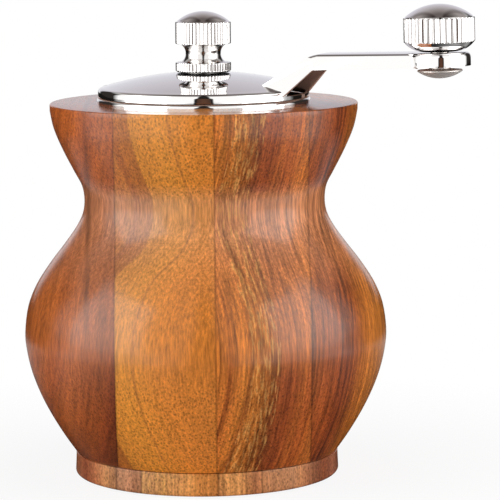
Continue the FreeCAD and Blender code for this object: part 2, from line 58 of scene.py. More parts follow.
# ---- modelling ----------------------------------------------------------------------
def arc_points(start, through, end, steps):
    """Points after start on the circle through three points."""
    (ax, ay), (bx, by), (cx, cy) = start, through, end
    d = 2 * (ax * (by - cy) + bx * (cy - ay) + cx * (ay - by))
    a2, b2, c2 = ax * ax + ay * ay, bx * bx + by * by, cx * cx + cy * cy
    ox = (a2 * (by - cy) + b2 * (cy - ay) + c2 * (ay - by)) / d
    oy = (a2 * (cx - bx) + b2 * (ax - cx) + c2 * (bx - ax)) / d
    first = math.atan2(ay - oy, ax - ox)
    middle = (math.atan2(by - oy, bx - ox) - first) % math.tau
    sweep = (math.atan2(cy - oy, cx - ox) - first) % math.tau
    if middle > sweep:
        sweep -= math.tau
    radius = math.hypot(ax - ox, ay - oy)
    angles = [first + sweep * k / steps for k in range(1, steps + 1)]
    return [(ox + radius * math.cos(a), oy + radius * math.sin(a)) for a in angles]


def curve_points(spots, steps):
    """Points after the first on a smooth curve through all the spots."""
    ends = [spots[0]] + list(spots) + [spots[-1]]
    found = []
    for a, b, c, d in zip(ends, ends[1:], ends[2:], ends[3:]):
        for k in range(1, steps + 1):
            t = k / steps
            found.append(tuple(
                0.5 * (2 * q + (r - p) * t + (2 * p - 5 * q + 4 * r - s) * t ** 2
                       + (3 * q - p - 3 * r + s) * t ** 3)
                for p, q, r, s in zip(a, b, c, d)))
    return found


def outline(start, *legs):
    """Points of an outline. A leg is a point, an arc as ("arc", through, end, steps), or a smooth
    curve as ("curve", spots, steps)."""
    points = [start]
    for leg in legs:
        if leg[0] == "arc":
            points += arc_points(points[-1], *leg[1:])
        elif leg[0] == "curve":
            points += curve_points([points[-1]] + leg[1], leg[2])
        else:
            points.append(leg)
    return points


def crown(rim, apex, steps):
    """Leg from a rim point to the axis, round a centre on the axis."""
    rise = apex - rim[1]
    ball = (rim[0] ** 2 + rise ** 2) / (2 * rise)
    half = rim[0] / 2
    fall = abs(ball) - math.sqrt(ball ** 2 - half ** 2)
    return ("arc", (half, apex - math.copysign(fall, rise)), (0.0, apex), steps)


def select(piece, wanted):
    """In edit mode, selects the vertices for which wanted(position in mm) holds."""
    mesh = bmesh.from_edit_mesh(piece.data)
    mesh.select_mode = {"VERT"}
    for vertex in mesh.verts:
        vertex.select = bool(wanted(vertex.co / MM))
    mesh.select_flush_mode()
    bmesh.update_edit_mesh(piece.data)


def turned(name, points, sides):
    """Turns an outline on the lathe: one ring of edges, drawn out and resized step by step."""
    speck = 0.004
    rings = [(max(r, speck), z) for r, z in points]
    bpy.ops.object.select_all(action="DESELECT")
    bpy.ops.mesh.primitive_circle_add(vertices=sides, radius=rings[0][0] * MM)
    piece = bpy.context.object
    piece.name = name
    bpy.ops.object.mode_set(mode="EDIT")
    bpy.ops.mesh.select_all(action="SELECT")
    bpy.ops.transform.translate(value=(0, 0, rings[0][1] * MM))
    for (r0, z0), (r1, z1) in zip(rings, rings[1:]):
        rise = {"value": (0, 0, (z1 - z0) * MM)}
        bpy.ops.mesh.extrude_region_move(TRANSFORM_OT_translate=rise)
        bpy.ops.transform.resize(value=(r1 / r0, r1 / r0, 1), center_override=(0, 0, z1 * MM))
    if points[0][0] <= speck or points[-1][0] <= speck:
        select(piece, lambda co: math.hypot(co.x, co.y) < 2 * speck)
        bpy.ops.mesh.remove_doubles(threshold=4 * speck * MM)
    bpy.ops.mesh.select_all(action="SELECT")
    bpy.ops.mesh.remove_doubles(threshold=0.0005 * MM)
    bpy.ops.mesh.normals_make_consistent(inside=False)
    bpy.ops.object.mode_set(mode="OBJECT")
    return piece


def flute(piece, radius, depth, count, per_flute):
    """Presses grooves between rounded ribs into the rings that have the full radius, and gives
    the bottoms of the grooves the second material, a greyer plate that paints their shade."""
    bottom = 1.6    # faces nearer than this to the middle of a groove, in faces round the piece

    def at_full_radius(co):
        return math.hypot(co.x, co.y) > radius - 0.01

    def from_groove(co):
        turn = math.atan2(co.y, co.x) / math.tau * count * per_flute % per_flute
        return min(turn, per_flute - turn)

    paint(piece, lambda co, normal: from_groove(co) < bottom and at_full_radius(co), 1)
    bpy.context.view_layer.objects.active = piece
    bpy.ops.object.mode_set(mode="EDIT")
    for k in range(per_flute // 2 + 1):
        off_rib = 1 - 2 * k / per_flute
        depth_here = depth * math.sin(off_rib * math.pi / 2) ** 2

        def on_this_line(co):
            return round(from_groove(co)) == k and at_full_radius(co)

        select(piece, on_this_line)
        factor = 1 - depth_here / radius
        bpy.ops.transform.resize(value=(factor, factor, 1), center_override=(0, 0, 0))
    bpy.ops.object.mode_set(mode="OBJECT")


def smooth(piece, angle=32):
    bpy.ops.object.select_all(action="DESELECT")
    piece.select_set(True)
    bpy.context.view_layer.objects.active = piece
    bpy.ops.object.shade_smooth_by_angle(angle=math.radians(angle))


def apply_modifier(piece, kind, **settings):
    modifier = piece.modifiers.new(kind.title(), kind)
    for key, value in settings.items():
        setattr(modifier, key, value)
    bpy.ops.object.select_all(action="DESELECT")
    piece.select_set(True)
    bpy.context.view_layer.objects.active = piece
    bpy.ops.object.modifier_apply(modifier=modifier.name)


def combine(piece, other, operation):
    """Joins or cuts two closed shapes and removes the second."""
    apply_modifier(piece, "BOOLEAN", object=other, operation=operation, solver="EXACT")
    bpy.data.objects.remove(other)
    return piece


def paint(piece, wanted, index):
    """Gives the faces for which wanted(middle in mm, normal) holds another material."""
    bpy.ops.object.select_all(action="DESELECT")
    piece.select_set(True)
    bpy.context.view_layer.objects.active = piece
    bpy.ops.object.mode_set(mode="EDIT")
    mesh = bmesh.from_edit_mesh(piece.data)
    mesh.select_mode = {"FACE"}
    for face in mesh.faces:
        face.select = bool(wanted(face.calc_center_median() / MM, face.normal))
    mesh.select_flush_mode()
    bmesh.update_edit_mesh(piece.data)
    piece.active_material_index = index
    bpy.ops.object.material_slot_assign()
    bpy.ops.object.mode_set(mode="OBJECT")


def finish_piece(piece, body, node, material=None):
    if material:
        piece.data.materials.append(material)
    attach(piece, body)
    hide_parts(node)


# ---- materials ------------------------------------------------------------------------
def colour(code):
    """sRGB hex code to a linear colour."""
    parts = [int(code[k:k + 2], 16) / 255 for k in (1, 3, 5)]
    linear = [p / 12.92 if p <= 0.04045 else ((p + 0.055) / 1.055) ** 2.4 for p in parts]
    return (*linear, 1.0)


def new_material(name):
    material = bpy.data.materials.new(name)
    material.use_nodes = True
    tree = material.node_tree
    return material, tree, tree.nodes["Principled BSDF"]


def add(tree, kind, inputs=None, **settings):
    """Adds a node; an input is a value or another node's output."""
    made = tree.nodes.new("ShaderNode" + kind)
    for key, value in settings.items():
        setattr(made, key, value)
    for slot, value in (inputs or {}).items():
        if isinstance(value, bpy.types.NodeSocket):
            tree.links.new(value, made.inputs[slot])
        else:
            made.inputs[slot].default_value = value
    return made


def mapped(tree, value, low, high, start=0.0, end=1.0, **settings):
    """Start where the value is low, end where it is high, and in step with it between."""
    inputs = {"Value": value, "From Min": low, "From Max": high, "To Min": start, "To Max": end}
    return add(tree, "MapRange", inputs, **settings).outputs["Result"]


def reckoned(tree, operation, *values):
    return add(tree, "Math", dict(enumerate(values)), operation=operation).outputs[0]


def product(tree, *values):
    found = values[0]
    for value in values[1:]:
        found = reckoned(tree, "MULTIPLY", found, value)
    return found


def vector(tree, operation, *values):
    return add(tree, "VectorMath", dict(enumerate(values)), operation=operation).outputs["Vector"]


def measured(tree, operation, *values):
    """The one number that a dot product or a length gives."""
    return add(tree, "VectorMath", dict(enumerate(values)), operation=operation).outputs["Value"]


def scaled(tree, value, factor):
    made = add(tree, "VectorMath", {0: value, "Scale": factor}, operation="SCALE")
    return made.outputs["Vector"]


def point(tree, x=0.0, y=0.0, z=0.0):
    return add(tree, "CombineXYZ", {"X": x, "Y": y, "Z": z}).outputs["Vector"]


def noise(tree, place, scale, detail, **inputs):
    inputs = {"Vector": place, "Scale": scale, "Detail": detail, **inputs}
    return add(tree, "TexNoise", inputs).outputs["Fac"]


def mixed_value(tree, amount, first, second):
    """The first number where amount is 0, the second where it is 1."""
    first_slot, second_slot, out_slot = 2, 3, 0
    made = add(tree, "Mix", {"Factor": amount, first_slot: first, second_slot: second},
               data_type="FLOAT")
    return made.outputs[out_slot]


def mixed_colour(tree, amount, first, second, blend_type="MIX"):
    """The first colour where amount is 0, the second where it is 1."""
    first_slot, second_slot, out_slot = 6, 7, 2
    made = add(tree, "Mix", {"Factor": amount, first_slot: first, second_slot: second},
               data_type="RGBA", blend_type=blend_type)
    return made.outputs[out_slot]


def colour_ramp(tree, value, stops, low=0.0, high=1.0):
    """Colours by a value from 0 to 1; the stops stand on a scale from low to high."""
    ramp = add(tree, "ValToRGB", {"Fac": value})
    elements = ramp.color_ramp.elements
    while len(elements) > 1:
        elements.remove(elements[-1])
    for k, (place, code) in enumerate(stops):
        share = (place - low) / (high - low)
        element = elements[0] if k == 0 else elements.new(share)
        element.position = share
        element.color = colour(code)
    return ramp.outputs["Color"]


# Boards of the body, left to right: how the growth layers lean (across, depth, up), how far
# they step aside below the waist, how strong their lines are, how much paler the board is round
# the waist and on the belly, and the colours by layer in mm.
BODY_BOARDS = [
    {"lean": (1.0, 0.0, -0.15), "step": 0.0, "lines": 0.8, "waist": 0.3, "belly": 0.2, "stops": [
        (-56, "#A8541F"), (-50, "#AC5822"), (-47, "#A65221"), (-45.5, "#9A4C1E"),
        (-43.5, "#A85520"), (-41, "#A25320"), (-38.5, "#9E5020"), (-36, "#8C451A"),
        (-33, "#92481B"), (-30, "#803A17"), (-27, "#6A3010")]},
    {"lean": (1.0, -0.85, 0.0), "step": 6.0, "lines": 0.4, "waist": 0.0, "belly": 0.0, "stops": [
        (-4, "#B26824"), (0, "#B26423"), (2.5, "#B76B25"), (5, "#A0571F"), (8, "#AE6422"),
        (10.5, "#A55F20"), (11.7, "#AC6523"), (12.3, "#C47C28"), (16, "#CF832B"),
        (22, "#D7892D"), (25, "#D8882E"), (25.6, "#B8702A"), (26.3, "#D8872E"),
        (36, "#D7812E"), (52, "#CC782B")]},
    {"lean": (1.0, 0.6, 0.0), "step": 0.0, "lines": 1.6, "waist": 0.65, "belly": 0.6, "stops": [
        (-30, "#CE782B"), (-25, "#CE7429"), (-23.6, "#AC581D"), (-22.4, "#C46E28"),
        (-19, "#C67428"), (-17.8, "#AC5F22"), (-16, "#BE6F27"), (-13.5, "#B46825"),
        (-11.8, "#A25A20"), (-10, "#9E561F"), (-8.5, "#8E461B"), (-6, "#984A1E"),
        (-3.5, "#90441B"), (-1, "#A4521F"), (1, "#B05C22"), (3, "#A4521F"), (6, "#B05A20"),
        (10, "#C46D29"), (16, "#BE6826")]},
    {"lean": (1.0, 0.5, -0.08), "step": 0.0, "lines": 1.8, "waist": 0.6, "belly": 0.12, "stops": [
        (2, "#8A481A"), (6, "#8E481B"), (10, "#9A4C1E"), (14, "#914519"), (17.5, "#92441B"),
        (18.9, "#8A401A"), (19.6, "#642B11"), (20.3, "#8C431A"), (21.5, "#92461B"),
        (23.5, "#A0521F"), (26, "#B26223"), (29, "#C47028"), (34, "#CB782A"),
        (50, "#C4752A")]},
]
BODY_SEAMS = [-24.5, 2.6, 28.4]
BODY_STREAK = -32.3

# The foot ring is cut from other boards: paler, with upright stripes. For each board, how strong
# its lines are, and its colours.
BASE_STRIPES = [
    (0.5, [(-37, "#A76642"), (-34, "#974F2E"), (-31, "#BB7448"), (-28, "#C78A56"),
           (-25, "#9A6844")]),
    (0.5, [(-26, "#9A6846"), (-24, "#BB845E"), (-22, "#C58A62"), (-20, "#A7704C"),
           (-18, "#AB7650")]),
    (0.7, [(-18, "#D59C60"), (-15, "#CB9158"), (-12, "#D59856"), (-9, "#CD8E52"),
           (-5, "#DF9A52"), (-2, "#CF8640"), (1, "#C7803C"), (3, "#B37034")]),
    (1.0, [(3, "#C78448"), (5.5, "#D79452"), (8, "#D79554"), (10.5, "#BB7C46"),
           (13, "#A7683E"), (15, "#C3804E")]),
    (0.7, [(15, "#CB8854"), (17, "#B77C50"), (22, "#BB8054"), (24, "#BB8258"),
           (26, "#CD8A58"), (28, "#AD6F48"), (31, "#875034"), (33, "#8B4C2E"),
           (35, "#A36448")]),
]
BASE_BOARDS = [
    {"lean": (1.0, 0.0, 0.0), "step": 0.0, "lines": lines, "waist": 0.0, "belly": 0.0,
     "stops": stops} for lines, stops in BASE_STRIPES]
BASE_SEAMS = [-25.0, -18.0, 3.0, 15.0]


def board_colour(tree, place, below_waist, board):
    """Colour of one board from its growth layers, and the place among the layers in mm."""
    stops = board["stops"]
    low, high = stops[0][0], stops[-1][0]
    straight = measured(tree, "DOT_PRODUCT", place, board["lean"])
    layer = reckoned(tree, "MULTIPLY_ADD", below_waist, board["step"], straight)
    return colour_ramp(tree, mapped(tree, layer, low, high), stops, low, high), layer


def glued_boards(tree, place, across, height, boards, seams):
    """Colour of the boards side by side, and a dict of what changes from board to board: the
    place among the layers, the strength of the lines, and how pale waist and belly are."""
    below_waist = mapped(tree, height, 70.0, 58.0, interpolation_type="SMOOTHSTEP")
    wood, layer = board_colour(tree, place, below_waist, boards[0])
    found = {"depth": layer, **{key: boards[0][key] for key in ("lines", "waist", "belly")}}
    for board, seam in zip(boards[1:], seams):
        shade, layer = board_colour(tree, place, below_waist, board)
        past = reckoned(tree, "GREATER_THAN", across, seam)
        wood = mixed_colour(tree, past, wood, shade)
        for key in found:
            beyond = layer if key == "depth" else board[key]
            found[key] = mixed_value(tree, past, found[key], beyond)
    return wood, found


def tone(tree, pattern, span, change, where):
    """How far a pattern darkens or lightens the wood: 1 plus the change, as far as where says."""
    return reckoned(tree, "MULTIPLY_ADD", mapped(tree, pattern, *span, *change), where, 1.0)


def away_from(tree, across, line):
    return reckoned(tree, "ABSOLUTE", reckoned(tree, "SUBTRACT", across, line))


def acacia_boards(name, boards, seams, streak=None):
    """Oiled acacia under gloss lacquer: strongly striped boards glued side by side.
    Dark pores run along the grain, so they show as streaks on upright faces and as dots where
    the lathe has cut across it. The lacquer gives soft, clear reflections."""
    material, tree, shader = new_material(name)
    coords = add(tree, "TexCoord")
    place = add(tree, "Mapping", {"Vector": coords.outputs["Object"],
                                  "Rotation": (0, 0, -VIEW_TURN),
                                  "Scale": (1 / MM,) * 3}).outputs["Vector"]
    axes = add(tree, "SeparateXYZ", {"Vector": place})
    across, height = axes.outputs["X"], axes.outputs["Z"]

    # slow wander of the layers: about 22 mm across, 90 mm along the grain, up to 1 mm aside
    along = vector(tree, "MULTIPLY", place, (1, 1, 0.25))
    wander = add(tree, "TexNoise", {"Vector": along, "Scale": 1 / 22, "Detail": 3.0})
    pushed = vector(tree, "SUBTRACT", wander.outputs["Color"], (0.5, 0.5, 0.5))
    bent = vector(tree, "MULTIPLY_ADD", pushed, (3.5, 3.5, 0), place)
    wood, here = glued_boards(tree, bent, across, height, boards, seams)

    # round the waist and on the belly the lathe runs with the grain, which leaves the dark
    # layers paler; the flare and the foot stay dark
    over_foot = mapped(tree, height, 34.0, 44.0)
    over_belly = mapped(tree, height, 57.0, 66.0)
    under_flare = mapped(tree, height, 83.6, 81.6)
    paler = mixed_value(tree, over_belly, here["belly"], here["waist"])
    paler = product(tree, paler, over_foot, under_flare)
    # painted sheen: round the hollow of the waist the wood is lightened a little towards pale
    # cream, a reflection painted into its colour
    painted_waist_sheen = product(tree, mapped(tree, height, 54.0, 72.0, 0.0, 0.11),
                    mapped(tree, height, 86.0, 81.0))

    # growth lines: 1 to 1.5 mm apart across the layers, drawn out along the grain
    just_depth = point(tree, x=here["depth"])
    lines_at = vector(tree, "MULTIPLY_ADD", along, (0.12, 0.12, 0.1), just_depth)
    lines = noise(tree, lines_at, 0.9, 4.0, Roughness=0.65)
    lines_tone = tone(tree, lines, (0.32, 0.68), (-0.36, 0.26), here["lines"])

    # a band 10 mm deep in the third board has twisted grain: short pale and dark strokes
    twisted = reckoned(tree, "COMPARE", here["depth"], -12.5, 5.0)
    strokes_at = vector(tree, "MULTIPLY_ADD", place, (0.3, 0.3, 0.2), just_depth)
    strokes = noise(tree, strokes_at, 1.1, 3.0)
    strokes_tone = tone(tree, strokes, (0.36, 0.5), (-0.3, 0.0), twisted)
    pale = product(tree, mapped(tree, strokes, 0.5, 0.62, 0.0, 0.5), twisted)

    # the paler layers, the painted waist sheen, and the pale strokes
    for amount, tint in ((paler, "#CA742B"), (painted_waist_sheen, "#F0D8C0"), (pale, "#DCA458")):
        wood = mixed_colour(tree, amount, wood, colour(tint))

    # where the lathe has cut across the grain: on the flare and under the belly
    cut = reckoned(tree, "MAXIMUM", mapped(tree, height, 81.5, 83.0),
                   mapped(tree, height, 41.0, 30.0))
    # pores cut across: dark dots 0.4 mm wide, 0.7 mm apart
    dots_at = vector(tree, "MULTIPLY", place, (1 / 0.7, 1 / 0.7, 1 / 1.1))
    dots = add(tree, "TexVoronoi", {"Vector": dots_at, "Scale": 1.0})
    dots_tone = tone(tree, dots.outputs["Distance"], (0.1, 0.5), (-0.45, 0.14), cut)
    # pores cut along: dashes 0.6 mm wide, 6 mm long, dark and pale
    dashes_at = vector(tree, "MULTIPLY", place, (1 / 0.6, 1 / 0.6, 1 / 6.0))
    dashes = noise(tree, dashes_at, 1.0, 3.0, Roughness=0.65)
    dashes_depth = mapped(tree, cut, 0.0, 1.0, 0.4, 0.2)
    dashes_tone = tone(tree, dashes, (0.3, 0.7), (-1.0, 0.9), dashes_depth)
    # fine mottling, 0.6 mm
    flecks = noise(tree, place, 1 / 0.6, 2.0, Roughness=0.6)
    flecks_tone = tone(tree, flecks, (0.3, 0.7), (-0.2, 0.22), cut)
    # turning marks: faint rings under the waist, 0.5 mm apart
    marks = noise(tree, point(tree, z=height), 2.0, 1.0)
    marks_near = reckoned(tree, "COMPARE", height, 66.0, 5.0)
    marks_tone = tone(tree, marks, (0.3, 0.7), (-0.07, 0.07), marks_near)
    wood = scaled(tree, wood, product(tree, lines_tone, dots_tone, dashes_tone, flecks_tone,
                                      strokes_tone, marks_tone))

    # glue lines: a dark thread half a millimetre wide at each seam
    for seam in seams:
        wood = scaled(tree, wood, mapped(tree, away_from(tree, across, seam), 0.1, 0.4,
                                         0.62, 1.0))
    if streak is not None:
        # a mineral streak runs up the first board, from the belly to the rim
        stain = mapped(tree, away_from(tree, across, streak), 0.2, 1.0, 0.38, 0.0)
        up_the_belly = mapped(tree, height, 42.0, 56.0)
        stain = product(tree, stain, dashes_tone, up_the_belly)
        wood = scaled(tree, wood, reckoned(tree, "SUBTRACT", 1.0, stain))
    tree.links.new(wood, shader.inputs["Base Color"])

    # the lacquer is thin: the pores show through it as a slight relief
    bump = add(tree, "Bump", {"Strength": 0.5, "Distance": 0.03 * MM, "Height": dashes})
    tree.links.new(bump.outputs["Normal"], shader.inputs["Normal"])
    tree.links.new(bump.outputs["Normal"], shader.inputs["Coat Normal"])
    shader.inputs["Roughness"].default_value = 0.45
    shader.inputs["Specular IOR Level"].default_value = 0.12
    shader.inputs["Coat Weight"].default_value = 1.0
    shader.inputs["Coat Roughness"].default_value = 0.19
    shader.inputs["Coat IOR"].default_value = 1.42
    return material


def metal(name, code, metallic):
    """A metal's material, its tree and shader, and the place on the piece."""
    material, tree, shader = new_material(name)
    shader.inputs["Base Color"].default_value = colour(code)
    shader.inputs["Metallic"].default_value = metallic
    return material, tree, shader, add(tree, "TexCoord").outputs["Object"]


def plated_chrome():
    """Bright chrome plate on steel, polished: a near mirror with a faint haze."""
    material, tree, shader, place = metal("plated_chrome", "#F1EFEE", 1.0)
    # polishing haze, a few millimetres across
    haze = noise(tree, place, 300.0, 3.0)
    tree.links.new(mapped(tree, haze, 0.0, 1.0, 0.02, 0.07), shader.inputs["Roughness"])
    return material


def satin_plate(name, code, roughness, metallic=1.0):
    """Duller plate with soft, even reflections, its colour set to paint shade and pale
    reflections.
    """
    material, tree, shader, place = metal(name, code, metallic)
    haze = noise(tree, place, 200.0, 2.0)
    rough = mapped(tree, haze, 0.0, 1.0, roughness - 0.03, roughness + 0.03)
    tree.links.new(rough, shader.inputs["Roughness"])
    return material


def bare_metal(name, code, roughness, grain_mm, contrast, metallic=1.0):
    """Unplated metal with a fine irregular grain."""
    material, tree, shader, place = metal(name, code, metallic)
    grain = noise(tree, place, 1 / (grain_mm * MM), 4.0)
    rough = mapped(tree, grain, 0.0, 1.0, roughness - contrast, roughness + contrast)
    tree.links.new(rough, shader.inputs["Roughness"])
    bump = add(tree, "Bump", {"Strength": 0.2, "Distance": 0.02 * MM, "Height": grain})
    tree.links.new(bump.outputs["Normal"], shader.inputs["Normal"])
    return material


def soft_material(name, code, roughness, grain_mm, relief_mm):
    """Plastic, rubber or felt: a coloured body with a fine surface texture."""
    material, tree, shader = new_material(name)
    place = add(tree, "TexCoord").outputs["Object"]
    grain = noise(tree, place, 1 / (grain_mm * MM), 3.0)
    tint = scaled(tree, colour(code)[:3], mapped(tree, grain, 0.0, 1.0, 0.8, 1.2))
    tree.links.new(tint, shader.inputs["Base Color"])
    bump = add(tree, "Bump", {"Strength": 0.5, "Distance": relief_mm * MM, "Height": grain})
    tree.links.new(bump.outputs["Normal"], shader.inputs["Normal"])
    shader.inputs["Roughness"].default_value = roughness
    return material


# ---- wooden pieces and ring -------------------------------------------------------------
def wooden_body(material):
    low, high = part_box("wooden_body")
    foot, top = low.z / MM, high.z / MM
    points = outline(
        (36.9, foot), (37.2, foot + 0.3),
        ("curve", [(40.5, 12.0), (44.1, 18.0), (47.05, 24.0), (49.25, 30.0), (50.58, 36.0),
                   (50.91, 41.0), (49.93, 48.0), (47.5, 54.0), (43.6, 60.0), (39.75, 65.0),
                   (36.2, 70.0), (34.25, 74.0), (33.72, 78.0), (34.35, 82.0), (36.4, 86.0),
                   (39.45, 92.0), (41.95, 98.0), (43.03, 103.0)], 4),
        (43.04, top - 0.5), ("arc", (42.95, top - 0.15), (42.6, top), 4),
        (28.9, top), (28.66, top - 0.3), (28.66, 90.0), (26.6, 90.0), (26.6, 45.0),
        (33.0, 45.0), (33.0, foot + 0.3), (33.3, foot), (36.9, foot))
    piece = turned("turned_body", points, 160)
    smooth(piece)
    finish_piece(piece, "mill_body", "wooden_body", material)


def wooden_base(material):
    points = outline(
        (0, 1.5), (29.8, 1.5), (30.0, 0.5), (30.2, 0.3), (36.0, 0.3),
        ("arc", (36.95, 0.65), (37.22, 1.6), 6), (37.1, 4.0), (37.02, 6.3),
        ("arc", (36.95, 6.58), (36.7, 6.7), 3),
        (31.8, 6.7), (31.56, 6.4), (31.56, 4.0), (0, 4.0))
    piece = turned("turned_base", points, 160)
    smooth(piece)
    finish_piece(piece, "base", "wooden_base", material)


def top_ring(material, under_cap):
    points = outline(
        (29.88, 105.0), (29.9, 105.5), ("arc", (29.65, 106.2), (28.9, 106.5), 8),
        (28.1, 106.5), ("arc", (27.6, 106.3), (27.4, 105.8), 6), (27.4, 91.7),
        (28.6, 91.6), (28.6, 104.95), (29.88, 105.0))
    piece = turned("collar_ring", points, 160)
    piece.data.materials.append(material)
    piece.data.materials.append(under_cap)
    # the ring's inner faces get the dull, brownish plate: painted reflection of the wood, darker
    # than chrome
    paint(piece, lambda co, normal: math.hypot(co.x, co.y) < 29.4, 1)
    smooth(piece)
    finish_piece(piece, "mill_body", "top_ring")


# ---- crank ------------------------------------------------------------------------------
# The pressing: how thick its sheet is, and the dome's radius and heights.
SHEET = 1.0
DOME_R, SKIRT_TOP, DOME_TOP = 29.5, 109.3, 113.4
SKIRT_FOOT, LIP_TOP = 106.7, 107.7
ROUNDED = 0.29    # how far the middle of a quarter arc lies in from each side, per unit radius
knob_joint = next(j for j in frame["joints"] if j["name"] == "knob_spin")
KNOB_PLACE = Vector(knob_joint["pos_m"])
KNOB_TILT = Vector((0, 0, 1)).rotation_difference(Vector(knob_joint["axis"]))
TO_KNOB = Matrix.Translation(KNOB_PLACE) @ KNOB_TILT.to_matrix().to_4x4()


def dome(inset, foot):
    corner = 1.2
    r = DOME_R - inset
    rim = (DOME_R - corner, SKIRT_TOP - inset)
    bend = corner - inset
    middle = (r - ROUNDED * bend, SKIRT_TOP - inset - ROUNDED * bend)
    points = outline((0, foot), (r, foot), (r, SKIRT_TOP - corner), ("arc", middle, rim, 4),
                     crown(rim, DOME_TOP - inset, 16))
    return turned("dome", points, 144)


# The arm: a channel that leaves the dome at its root, climbs to the bend and runs level to the
# knob. Half widths, depth, and the places of root and bend along the arm.
ARM_HALF, ARM_DEEP = 5.65, 4.1
BEND_X, BEND_Z = 33.9, 119.06
ROOT_X, ROOT_Z, ROOT_HALF = 21.1, 110.7, 10.1
ROOT_FOOT_X, ROOT_FOOT_Z, ROOT_FOOT_HALF = 27.0, 107.3, 12.0


def arm(inset):
    """A bar from bend to knob; its inner end is drawn down and out into the dome. With an inset
    it is the hollow under the sheet; a factor beside inset says how far that edge moves in."""
    half = ARM_HALF - inset
    knob_x = KNOB_PLACE.x / MM
    bend_z, knob_z = BEND_Z - inset, KNOB_PLACE.z / MM - inset
    deep = ARM_DEEP + 2.5 * inset
    bpy.ops.object.select_all(action="DESELECT")
    bpy.ops.mesh.primitive_cube_add(size=MM)
    piece = bpy.context.object
    bpy.ops.object.mode_set(mode="EDIT")
    bpy.ops.mesh.select_all(action="SELECT")
    bpy.ops.transform.resize(value=(knob_x - BEND_X, 2 * half, deep))
    middle = ((knob_x + BEND_X) / 2, 0, knob_z - deep / 2)
    bpy.ops.transform.translate(value=[v * MM for v in middle])
    select(piece, lambda co: co.x < BEND_X + 1)
    bpy.ops.transform.translate(value=(0, 0, (bend_z - knob_z) * MM))
    to_root = {"value": ((ROOT_FOOT_X - BEND_X) * MM, 0, 0)}
    bpy.ops.mesh.extrude_region_move(TRANSFORM_OT_translate=to_root)
    # the lower edges of the bend spread
    splay = deep / ARM_DEEP
    select(piece, lambda co: abs(co.x - BEND_X) < 0.1 and co.z < bend_z - deep + 0.5)
    bpy.ops.transform.resize(value=(1, (half + 2.0 * splay) / half, 1))
    bpy.ops.transform.translate(value=(0.8 * splay * MM, 0, 0))

    # the root: its top goes into the dome, its foot down to the skirt
    select(piece, lambda co: co.x < ROOT_FOOT_X + 1 and co.z > bend_z - 1)
    bpy.ops.transform.resize(value=(1, (ROOT_HALF - 1.15 * inset) / half, 1))
    drop = ROOT_Z - 1.2 * inset - bend_z
    bpy.ops.transform.translate(value=((ROOT_X - ROOT_FOOT_X) * MM, 0, drop * MM))
    select(piece, lambda co: abs(co.x - ROOT_FOOT_X) < 0.5)
    bpy.ops.transform.resize(value=(1, (ROOT_FOOT_HALF - 1.15 * inset) / half, 1))
    drop = ROOT_FOOT_Z - 2.5 * inset - bend_z + deep
    bpy.ops.transform.translate(value=(1.4 * inset * MM, 0, drop * MM))

    # round the bend, then the two long folds
    select(piece, lambda co: abs(co.x - BEND_X) < 0.1 and co.z > bend_z - 0.5)
    bpy.ops.mesh.bevel(offset=2.0 * MM, segments=5, affect="EDGES")

    def on_top(co):
        if co.x > BEND_X - 1.9:
            return co.z > bend_z - 0.6
        share = (BEND_X - co.x) / (BEND_X - ROOT_X)
        return co.z > bend_z + (ROOT_Z - BEND_Z) * share - 1.2

    mesh = bmesh.from_edit_mesh(piece.data)
    mesh.select_mode = {"EDGE"}
    for edge in mesh.edges:
        a, b = (v.co / MM for v in edge.verts)
        side = abs(a.y) > half - 0.5 and a.y * b.y > 0
        edge.select = side and on_top(a) and on_top(b)
    mesh.select_flush_mode()
    bmesh.update_edit_mesh(piece.data)
    bpy.ops.mesh.bevel(offset=(0.8 - 0.3 * inset) * MM, segments=4, affect="EDGES")
    bpy.ops.object.mode_set(mode="OBJECT")
    return piece


def knob_cup(inset):
    corner = 1.2 - 0.8 * inset
    r = 8.4 - inset
    foot = -3.7 - 3.0 * inset
    middle = (r - ROUNDED * corner, -inset - ROUNDED * corner)
    points = outline((0, foot), (r, foot), (r, -inset - corner),
                     ("arc", middle, (r - corner, -inset), 5), (0, -inset))
    piece = turned("cup", points, 96)
    piece.data.transform(TO_KNOB)
    return piece


def pressing(material, inside):
    """The sheet between the outer shape and the hollow, with its two holes."""
    skin = combine(combine(dome(0.0, SKIRT_FOOT), arm(0.0), "UNION"), knob_cup(0.0), "UNION")
    # the skirt's lip runs on across the arm's mouth
    lip_in, lip_foot = DOME_R - SHEET - 0.3, SKIRT_FOOT - 4.7
    lip = turned("lip", [(lip_in, lip_foot), (DOME_R, lip_foot), (DOME_R, LIP_TOP),
                         (lip_in, LIP_TOP), (lip_in, lip_foot)], 144)
    channel = combine(arm(SHEET), lip, "DIFFERENCE")
    hollow = combine(combine(dome(SHEET, SKIRT_FOOT - 2.0), channel, "UNION"),
                     knob_cup(SHEET), "UNION")
    for shape in (skin, hollow):
        shape.data.materials.append(material)
        shape.data.materials.append(inside)
    # the hollow and the downward faces get the dull, brownish plate: painted reflection of the
    # wood below
    paint(hollow, lambda co, normal: True, 1)
    paint(skin, lambda co, normal: normal.z < -0.5, 1)
    piece = combine(skin, hollow, "DIFFERENCE")
    boss = turned("boss", [(0, 110.0), (5.06, 110.0), (5.06, 115.0), (0, 115.0)], 48)
    combine(piece, boss, "DIFFERENCE")
    hole = turned("hole", [(0, -2.0), (2.52, -2.0), (2.52, 1.0), (0, 1.0)], 32)
    hole.data.transform(TO_KNOB)
    return combine(piece, hole, "DIFFERENCE")


def is_closed(piece):
    mesh = bmesh.new()
    mesh.from_mesh(piece.data)
    closed = all(edge.is_manifold for edge in mesh.edges)
    mesh.free()
    return closed


